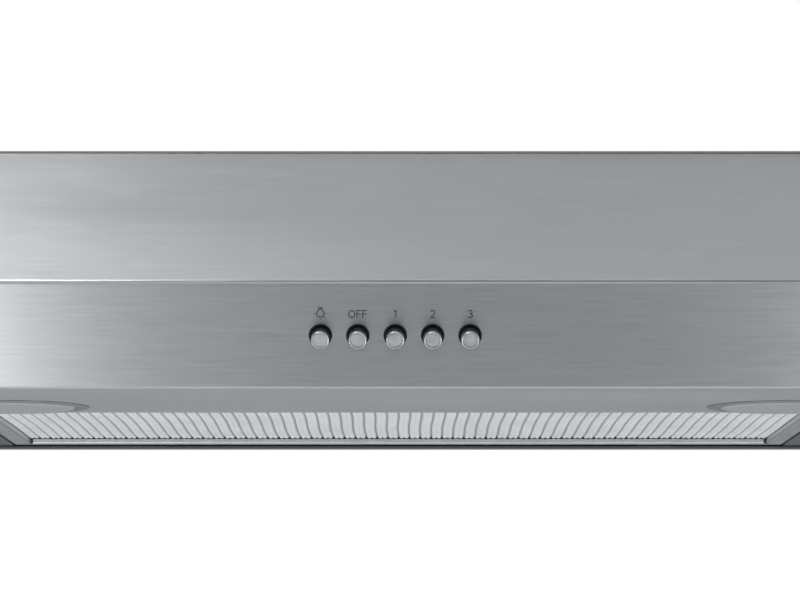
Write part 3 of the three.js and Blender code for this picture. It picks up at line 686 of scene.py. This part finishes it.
def filter_channel():
    wide, deep = FILTER_HALF
    members = [
        filter_member(wide, deep, 0),
        filter_member(deep, wide, math.pi / 2),
        filter_member(wide, deep, math.pi),
        filter_member(deep, wide, -math.pi / 2),
    ]
    shape = object_of("filter_channel", joined(*members), FINISH["aluminium"])
    pocket = block((-POCKET_HALF, -deep + 0.9, FILTER_BOTTOM - 1),
                   (POCKET_HALF, -deep + MEMBER + 1, MESH_BOTTOM))
    slot = tongue_slot(13, -deep - 1, -deep + 2)
    carve(shape, [tool_of(pocket), tool_of(slot)])
    smooth(shape)
    dress(shape, "filter", "aluminium", "filter_frame")
    parts = []
    for sign in SIDES.values():
        stop, tab = sign * STOP_X, sign * TAB_X
        parts.append(block((stop - STOP_HALF, -deep + MEMBER - 1.2, FILTER_BOTTOM),
                           (stop + STOP_HALF, -deep + MEMBER, MESH_BOTTOM - GAP)))
        parts.append(block((tab - TAB_HALF, deep - 1, TAB_LOW),
                           (tab + TAB_HALF, deep + 8.5, TAB_LOW + 1.2)))
    small = object_of("filter_tabs", joined(*parts), FINISH["aluminium"])
    soften(small, 0.2)
    dress(small, "filter", "aluminium", "filter_frame")


RIB_SHEET = 0.45
SAMPLES_PER_RIB = 18


def rib_height(x):
    """Height over the lowest line: a narrow valley between ribs, and a shallow fold in each."""
    across = (x / RIB_PITCH) % 1
    valley = math.exp(-((min(across, 1 - across) / 0.1) ** 2))
    fold = math.exp(-(((across - 0.5) / 0.11) ** 2))
    swell = 0.5 - 0.5 * math.cos(4 * math.pi * across)
    return 0.35 + 1.15 * valley + 0.3 * fold - 0.3 * swell


def filter_ribs():
    """The ribbed layer, whose ribs run from front to back and wave a little."""
    wide, deep = FILTER_HALF.x - 1.8, FILTER_HALF.y - 1.8
    samples_x = SAMPLES_PER_RIB * round(2 * wide / RIB_PITCH)
    samples_y = 24
    made = bmesh.new()
    rows = []
    for j in range(samples_y + 1):
        y = -deep + 2 * deep * j / samples_y
        row = []
        for i in range(samples_x + 1):
            x = -wide + 2 * wide * i / samples_x
            sway = 0.35 * math.sin(y / 31 + x / 90) + 0.2 * math.sin(x / 17)
            row.append(made.verts.new((x, y, MESH_BOTTOM + 0.05 + rib_height(x + sway))))
        rows.append(row)
    for near, far in zip(rows, rows[1:]):
        for i in range(samples_x):
            made.faces.new((near[i], far[i], far[i + 1], near[i + 1]))
    shape = object_of("filter_ribs", made, RIBBED_WEAVE)
    shell = shape.modifiers.new("shell", "SOLIDIFY")
    shell.thickness = RIB_SHEET * MM
    shell.offset = 1 if shape.data.polygons[0].normal.z > 0 else -1
    apply_modifiers(shape)
    smooth(shape, 60)
    dress(shape, "filter", "aluminium", "filter_mesh")


# ---------------------------------------------------------------- lamps


def lamp_bezel(side, x):
    """A pressed ring that slopes down to its inner edge, with a spigot up through the strip."""
    face = FLOOR - GAP
    inner = LAMP_LENS + 0.5
    profile = [
        (LAMP_RADIUS - 0.5, FLOOR - 0.05),
        (LAMP_RADIUS - 0.5, FLOOR - 0.15),
        (LAMP_RADIUS, FLOOR - 0.2),
        (LAMP_RADIUS, face - 0.05),
        (LAMP_RADIUS - 0.2, face - 0.12),
        (LAMP_RADIUS - 2.6, face - 0.5),
        (inner + 1.6, face - LAMP_DROP + 0.16),
        (inner + 1.2, face - LAMP_DROP + 0.13),
        (inner + 0.9, face - LAMP_DROP + 0.3),
        (inner, FLOOR - 0.3),
        (inner, FLOOR + 1),
        (LAMP_SPIGOT - 1.6, FLOOR + 1),
        (LAMP_SPIGOT - 1.6, FLOOR + 8),
        (LAMP_SPIGOT, FLOOR + 8),
        (LAMP_SPIGOT, FLOOR - 0.05),
    ]
    made = lathe(profile, 128, Matrix.Translation((x, LAMP_Y, 0)))
    shape = object_of(f"lamp_ring_{side}", made, FINISH["bezel"])
    smooth(shape, 30)
    dress(shape, "hood", "bezel", f"lamp_bezel_{side}")


def lamp_lens(side, x):
    """A nearly flat dome that turns up into its rim over a round shoulder."""
    low = FLOOR - LAMP_DROP - 0.6
    rise, edge = 0.25, 2.4
    flat = LAMP_LENS - edge
    dome = [(flat * t, low + rise * t ** 3) for t in (0, 0.2, 0.4, 0.6, 0.8, 0.92, 1)]
    turns = [math.pi / 2 * part for part in (0.25, 0.5, 0.75, 1)]
    shoulder = [(flat + edge * math.sin(t), low + rise + 0.95 * (1 - math.cos(t))) for t in turns]
    rim = shoulder + [(LAMP_LENS, FLOOR + 2.2), (0, FLOOR + 2.2)]
    made = lathe(dome + rim, 96, Matrix.Translation((x, LAMP_Y, 0)))
    shape = object_of(f"lamp_glass_{side}", made, FINISH["lens"])
    smooth(shape, 30)
    dress(shape, "hood", "lens", f"lamp_lens_{side}")


# ---------------------------------------------------------------- buttons

STOP_FRONT = 4.6
STOP_BACK = 5.8
STOP_RADIUS = 6.1
STEM_RADIUS = 2.2
STEM_END = 18.5
SWITCH_FRONT = 13.5
CARRIER_HALF = 9
CARRIER_FRONT = 1.3
CARRIER_BACK = 4.3
COLLAR_BORE = 5.05
COLLAR_NECK = 5.6
COLLAR_BACK = 4.2


def button(name, x):
    """A bright cap with a chamfered rim and a thin groove, on a dark moulded stem."""
    cap, front = BUTTON_CAP, -BUTTON_PROUD
    shell_end = front + 1.3
    face = [
        (0, front + 0.2),
        (cap - 1.4, front + 0.2),
        (cap - 1.3, front + 0.3),
        (cap - 1.28, front + 0.6),
        (cap - 0.98, front + 0.6),
        (cap - 0.95, front + 0.12),
        (cap - 0.86, front + 0.02),
        (cap - 0.6, front),
        (cap - 0.3, front + 0.12),
        (cap - 0.08, front + 0.4),
        (cap, front + 0.75),
        (cap, shell_end),
        (0, shell_end),
    ]
    shape = object_of(f"push_cap_{name}", lathe(face, 64, face_matrix(x)), FINISH["button_cap"])
    smooth(shape, 20)
    dress(shape, f"push_button_{name}", "button_cap", f"button_{name}")
    stem = [
        (0, shell_end + 0.02),
        (cap - 0.25, shell_end + 0.02),
        (cap - 0.1, shell_end + 0.3),
        (cap - 0.1, STOP_FRONT),
        (STOP_RADIUS, STOP_FRONT),
        (STOP_RADIUS, STOP_BACK),
        (STEM_RADIUS, STOP_BACK),
        (STEM_RADIUS, STEM_END - 0.3),
        (STEM_RADIUS - 0.3, STEM_END),
        (0, STEM_END),
    ]
    shape = object_of(f"push_stem_{name}", lathe(stem, 64, face_matrix(x)), FINISH["black_plastic"])
    smooth(shape, 20)
    dress(shape, f"push_button_{name}", "black_plastic", f"button_{name}")


def button_guide():
    """The black carrier behind the button face, with a collar in each hole."""
    half = button_x(len(BUTTONS) - 1) + 12
    plate = block((-half, -CARRIER_HALF, CARRIER_FRONT), (half, CARRIER_HALF, CARRIER_BACK))
    bmesh.ops.transform(plate, matrix=face_matrix(), verts=plate.verts)
    shape = object_of("button_carrier", plate, FINISH["black_plastic"])
    xs = [button_x(k) for k in range(len(BUTTONS))]
    carve(shape, [tool_of(rod(5.5, -1, 8, 48, face_matrix(x))) for x in xs])
    soften(shape, 0.2)
    dress(shape, "hood", "black_plastic", "button_guide")
    outer = BUTTON_HOLE - GAP
    ring = [
        (outer, 1.6),
        (outer, 0.8),
        (outer - 0.15, 0.6),
        (COLLAR_BORE + 0.2, 0.6),
        (COLLAR_BORE, 0.85),
        (COLLAR_BORE, COLLAR_BACK),
        (COLLAR_NECK, COLLAR_BACK),
        (COLLAR_NECK, 1.6),
    ]
    collars = joined(*[lathe(ring, 64, face_matrix(x)) for x in xs])
    rings = object_of("button_collars", collars, FINISH["black_plastic"])
    smooth(rings, 30)
    dress(rings, "hood", "black_plastic", "button_guide")


def coil(name, radius, wire, low, high, turns, matrix):
    """A round wire wound about the local Z axis, as one closed mesh."""
    steps, sides = 20 * turns, 8
    made = bmesh.new()
    rings = []
    for i in range(steps + 1):
        angle = 2 * math.pi * turns * i / steps
        out = Vector((math.cos(angle), math.sin(angle), 0))
        height = low + wire + (high - low - 2 * wire) * i / steps
        centre = out * radius + Vector((0, 0, height))
        ring = []
        for k in range(sides):
            spoke = 2 * math.pi * k / sides
            reach = out * math.cos(spoke) + Vector((0, 0, math.sin(spoke)))
            ring.append(made.verts.new(centre + reach * wire))
        rings.append(ring)
    skin_over(made, rings)
    bmesh.ops.transform(made, matrix=matrix, verts=made.verts)
    shape = object_of(name, made, FINISH["spring_steel"])
    smooth(shape, 60)
    return shape


def button_spring(name, x):
    matrix = face_matrix(x)
    low, high = STOP_BACK + 0.3, SWITCH_FRONT - 0.3
    radius, wire, turns = 3.3, 0.3, 4
    shape = coil(f"button_coil_{name}", radius, wire, low, high, turns, matrix)
    dress(shape, "hood", "spring_steel", f"button_spring_{name}")
    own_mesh(shape)


def latch_spring(side, sign):
    low, high = -FILTER_HALF.y + 3.4, -FILTER_HALF.y + MEMBER - 1.4
    x = sign * LATCH_SPRING_X
    matrix = Matrix.Translation((x, 0, LATCH_SPRING_Z)) @ Matrix.Rotation(-math.pi / 2, 4, "X")
    radius, wire, turns = 0.82, 0.17, 6
    shape = coil(f"latch_coil_{side}", radius, wire, low, high, turns, matrix)
    dress(shape, "filter", "spring_steel", f"latch_spring_{side}")
    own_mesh(shape)


# ---------------------------------------------------------------- printed marks

MARK_TALL = 4.2
MARK_UP = 11.7
STROKE = 0.55


def arc(centre, radius, start, end, steps=18):
    """Points along an arc, in degrees anticlockwise from the right. The radius may differ in x and y."""
    rx, ry = radius if isinstance(radius, tuple) else (radius, radius)
    turns = [math.radians(start + (end - start) * k / steps) for k in range(steps + 1)]
    return [(centre[0] + rx * math.cos(t), centre[1] + ry * math.sin(t)) for t in turns]


# Each mark is a list of pen strokes in its own box, one unit tall, with x to the right and y up.
LETTER_O = [arc((0.42, 0.5), (0.38, 0.46), 0, 360, 40)]
LETTER_F = [[(0.6, 0.96), (0.06, 0.96), (0.06, 0.02)], [(0.06, 0.5), (0.54, 0.5)]]
DIGIT_1 = [[(0.12, 0.76), (0.36, 0.96), (0.36, 0.02)]]
DIGIT_2 = [arc((0.34, 0.68), (0.27, 0.28), 165, -35) + [(0.08, 0.04), (0.64, 0.04)]]
DIGIT_3 = [
    arc((0.32, 0.73), (0.25, 0.23), 150, -90, 16) + arc((0.32, 0.27), (0.29, 0.23), 90, -150, 16)
]
LAMP_BULB = [
    arc((0.8, 0.55), (0.46, 0.46), 118, 422, 30),
    [(0.58, 0.95), (0.6, 1.3), (1.0, 1.3), (1.02, 0.95)],
    [(0.6, 1.12), (1.0, 1.12)],
]
LAMP_RAYS = [
    [(0.8 + r * math.cos(math.radians(a)), 0.55 + r * math.sin(math.radians(a))) for r in (0.68, 0.79)]
    for a in (-180, -135, -90, -45, 0)
]


def stroke_mesh(points, place):
    """A flat pen stroke of even width, with a little thickness, turned by a placing function."""
    made = bmesh.new()
    vectors = [Vector(point) for point in points]
    half = STROKE / 2
    edges = []
    for i, at in enumerate(vectors):
        before = (at - vectors[i - 1]).normalized() if i > 0 else None
        after = (vectors[i + 1] - at).normalized() if i < len(vectors) - 1 else None
        before, after = before or after, after or before
        normal = (left_of(before) + left_of(after)).normalized()
        reach = half / max(0.5, normal.dot(left_of(before)))
        edges.append((at + normal * reach, at - normal * reach))
    rings = []
    for a, b in edges:
        corners = [(a, 0.0), (b, 0.0), (b, 0.03), (a, 0.03)]
        rings.append([made.verts.new(place(point, height)) for point, height in corners])
    skin_over(made, rings)
    return made


def printed_mark(name, x, strokes, width):
    """Prints strokes on the button face, above the button at x."""
    def place(point, height):
        across = x + point.x - width * MARK_TALL / 2
        down = -MARK_UP + MARK_TALL / 2 - point.y
        return face_matrix() @ Vector((across, down, -height))

    sized = [[(u * MARK_TALL, v * MARK_TALL) for u, v in stroke] for stroke in strokes]
    shape = object_of(name, joined(*[stroke_mesh(points, place) for points in sized]), INK)
    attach(shape, "hood")


def shifted(strokes, across):
    return [[(u + across, v) for u, v in stroke] for stroke in strokes]


def printed_marks():
    word = LETTER_O + shifted(LETTER_F, 1.0) + shifted(LETTER_F, 1.74)
    marks = [
        ("mark_lamp", LAMP_BULB + LAMP_RAYS, 1.6),
        ("mark_off", word, 2.36),
        ("mark_1", DIGIT_1, 0.56),
        ("mark_2", DIGIT_2, 0.7),
        ("mark_3", DIGIT_3, 0.66),
    ]
    for k, (name, strokes, width) in enumerate(marks):
        printed_mark(name, button_x(k), strokes, width)


# ---------------------------------------------------------------- screws

SCREW_RADIUS = 3
SCREW_PLACES = [(262, -100), (262, 100), (358, -60), (358, 60)]


def screw(place, normal):
    """A pan head screw with a cross recess, standing on a face."""
    turn = Vector(normal).to_track_quat("Z", "Y").to_matrix().to_4x4()
    matrix = Matrix.Translation(place) @ turn
    wide, middle = SCREW_RADIUS * 0.86, SCREW_RADIUS * 0.5
    dome = [(0, 0), (SCREW_RADIUS, 0), (SCREW_RADIUS, 0.5), (wide, 1.05), (middle, 1.45), (0, 1.55)]
    shape = object_of("screw", lathe(dome, 24, matrix), FINISH["spring_steel"])
    long, thin = SCREW_RADIUS * 0.55, 0.4
    for across, along in ((long, thin), (thin, long)):
        groove = block((-across, -along, 0.75), (across, along, 2.5))
        bmesh.ops.transform(groove, matrix=matrix, verts=groove.verts)
        carve(shape, [tool_of(groove)])
    smooth(shape, 40)
    return shape


def pan_screws():
    """One piece from the screws that hold both painted pans."""
    places = [(sign * x, y, PAN_BOTTOM) for sign in SIDES.values() for x, y in SCREW_PLACES]
    shapes = [screw(place, (0, 0, -1)) for place in places]
    whole = bmesh.new()
    for shape in shapes:
        whole.from_mesh(shape.data)
    for shape in shapes:
        bpy.data.objects.remove(shape)
    mesh = bpy.data.meshes.new("pan_screws")
    whole.to_mesh(mesh)
    whole.free()
    group = new_object("pan_screws", mesh, FINISH["spring_steel"])
    dress(group, "hood", "spring_steel")


# ---------------------------------------------------------------- other CAD nodes

SOFT_EDGES = {
    "rear_panel": 0.25, "rear_duct_cover": 0.25, "top_panel": 0.2, "duct_collar": 0.2,
    "bottom_pan_left": 0.25, "bottom_pan_right": 0.25,
    "damper_flap": 0.15, "filter_latch": 0.2, "filter_back_mesh": 0.1, "wiring_box": 0.25,
    "wiring_box_cover": 0.25, "terminal_block": 0.4, "led_driver": 0.8, "switch_body": 0.4,
    "switch_bracket": 0.25, "cable_bushing": 0.3, "run_capacitor": 0.6, "capacitor_clip": 0.2,
    "motor_bracket": 0.2, "motor_body": 0.3, "rotor_shaft": 0.3,
}


def softened_copy(node, slot):
    """A copy of a CAD node with its faces joined up, its round faces smooth and its edges eased."""
    bodies = frame["record"]["behaviour"]["bodies"]
    body = next(name for name, nodes in bodies.items() if node in nodes)
    made = bmesh.new()
    made.from_mesh(frame["nodes"][node].data)
    bmesh.ops.remove_doubles(made, verts=made.verts, dist=2e-6)
    bmesh.ops.dissolve_limit(made, angle_limit=math.radians(0.5), verts=made.verts, edges=made.edges)
    mesh = bpy.data.meshes.new(f"soft_{node}")
    made.to_mesh(mesh)
    made.free()
    material = WEAVE if node == "filter_back_mesh" else FINISH[slot]
    shape = new_object(f"soft_{node}", mesh, material)
    if node in SOFT_EDGES:
        soften(shape, SOFT_EDGES[node])
    else:
        smooth(shape, 32)
    dress(shape, body, slot, node)


def other_nodes(replaced):
    for part in frame["record"]["subparts"]:
        if part["node"] not in replaced:
            softened_copy(part["node"], part["material_slot"])


# ---------------------------------------------------------------- floor and light

# Places, sizes and depths here are in metres.
FLOOR_DEPTH = -0.95
LIGHT_COLOUR = (0.95, 0.975, 1.0)
REFLECTED_GREY = 0.25


def pale_floor():
    """A pale floor that is only seen from above."""
    bpy.ops.mesh.primitive_plane_add(size=40, location=(0, 0, FLOOR_DEPTH))
    floor = bpy.context.object
    floor.name = "floor"
    surface = Surface("floor", (0.86, 0.86, 0.86), 0.0, 0.8)
    surface.colour(surface.noise((2, 2, 2), 2), (0.84, 0.84, 0.84), (0.88, 0.88, 0.88))
    clear = surface.tree.nodes.new("ShaderNodeBsdfTransparent")
    facing = surface.tree.nodes.new("ShaderNodeNewGeometry")
    choose = surface.tree.nodes.new("ShaderNodeMixShader")
    output = surface.tree.nodes["Material Output"]
    surface.tree.links.new(facing.outputs["Backfacing"], choose.inputs["Fac"])
    surface.tree.links.new(surface.shader.outputs["BSDF"], choose.inputs[1])
    surface.tree.links.new(clear.outputs["BSDF"], choose.inputs[2])
    surface.tree.links.new(choose.outputs["Shader"], output.inputs["Surface"])
    floor.data.materials.append(surface.material)


def softbox(name, at, towards, size, watts):
    data = bpy.data.lights.new(name, "AREA")
    data.shape = "RECTANGLE"
    data.size, data.size_y = size
    data.energy = watts
    data.color = LIGHT_COLOUR
    light = bpy.data.objects.new(name, data)
    light.location = at
    light.rotation_euler = (Vector(towards) - Vector(at)).to_track_quat("-Z", "Y").to_euler()
    light.visible_camera = False
    bpy.context.collection.objects.link(light)


def studio():
    """White all round for the eye, and a softer grey for what the metal reflects."""
    world = bpy.data.worlds.new("studio")
    bpy.context.scene.world = world
    world.use_nodes = True
    tree = world.node_tree
    grey_light = tree.nodes["Background"]
    grey_light.inputs["Color"].default_value = (0.93, 0.96, 1.0, 1)
    grey_light.inputs["Strength"].default_value = REFLECTED_GREY
    white = tree.nodes.new("ShaderNodeBackground")
    white.inputs["Color"].default_value = (1, 1, 1, 1)
    white.inputs["Strength"].default_value = 1.0
    path = tree.nodes.new("ShaderNodeLightPath")
    choose = tree.nodes.new("ShaderNodeMixShader")
    tree.links.new(path.outputs["Is Camera Ray"], choose.inputs["Fac"])
    tree.links.new(grey_light.outputs["Background"], choose.inputs[1])
    tree.links.new(white.outputs["Background"], choose.inputs[2])
    tree.links.new(choose.outputs["Shader"], tree.nodes["World Output"].inputs["Surface"])
    bpy.context.scene.view_settings.view_transform = "Standard"
    hood = (0, -0.25, -0.05)
    softbox("over_middle", (0, 0.2, 1.4), hood, (1.8, 0.5), 4.4)
    softbox("over_front_left", (-0.5, -0.4, 1.0), (-0.2, -0.3, -0.1), (0.5, 0.5), 7.2)
    softbox("low_front_left", (-0.5, -1.05, -0.75), (-0.2, -0.33, -0.12), (0.35, 0.5), 2.4)
    softbox("low_front_right", (0.6, -1.05, -0.75), (0.22, -0.33, -0.12), (0.3, 0.5), 2.1)
    softbox("front", (0, -2.4, 0.4), (0, -0.3, -0.1), (1.2, 0.6), 4.2)
    softbox("below", (0, 0, -0.9), (0, 0, -0.14), (1.2, 0.6), 1.9)
    softbox("behind", (0.4, 2.2, 1.1), (0, 0.16, -0.07), (2.0, 1.2), 8)
    for sign in SIDES.values():
        softbox("end", (sign * 2.2, 0.5, 0.5), (sign * HALF * MM, 0, -0.07), (1.8, 1.8), 4)


# ---------------------------------------------------------------- everything

add_camera()
studio()
pale_floor()
visor()
for side_name, side_sign in SIDES.items():
    side_skin(side_name, side_sign)
    lamp_bezel(side_name, side_sign * LAMP_X)
    lamp_lens(side_name, side_sign * LAMP_X)
    latch_spring(side_name, side_sign)
filter_channel()
filter_ribs()
button_guide()
for index, button_name in enumerate(BUTTONS):
    button(button_name, button_x(index))
    button_spring(button_name, button_x(index))
printed_marks()
pan_screws()

made_here = {"front_visor", "filter_frame", "filter_mesh", "button_guide"}
for side_name in SIDES:
    made_here |= {f"lamp_bezel_{side_name}", f"lamp_lens_{side_name}"}
    made_here |= {f"{side_name}_side_panel", f"latch_spring_{side_name}"}
for button_name in BUTTONS:
    made_here |= {f"button_{button_name}", f"button_spring_{button_name}"}
other_nodes(made_here)
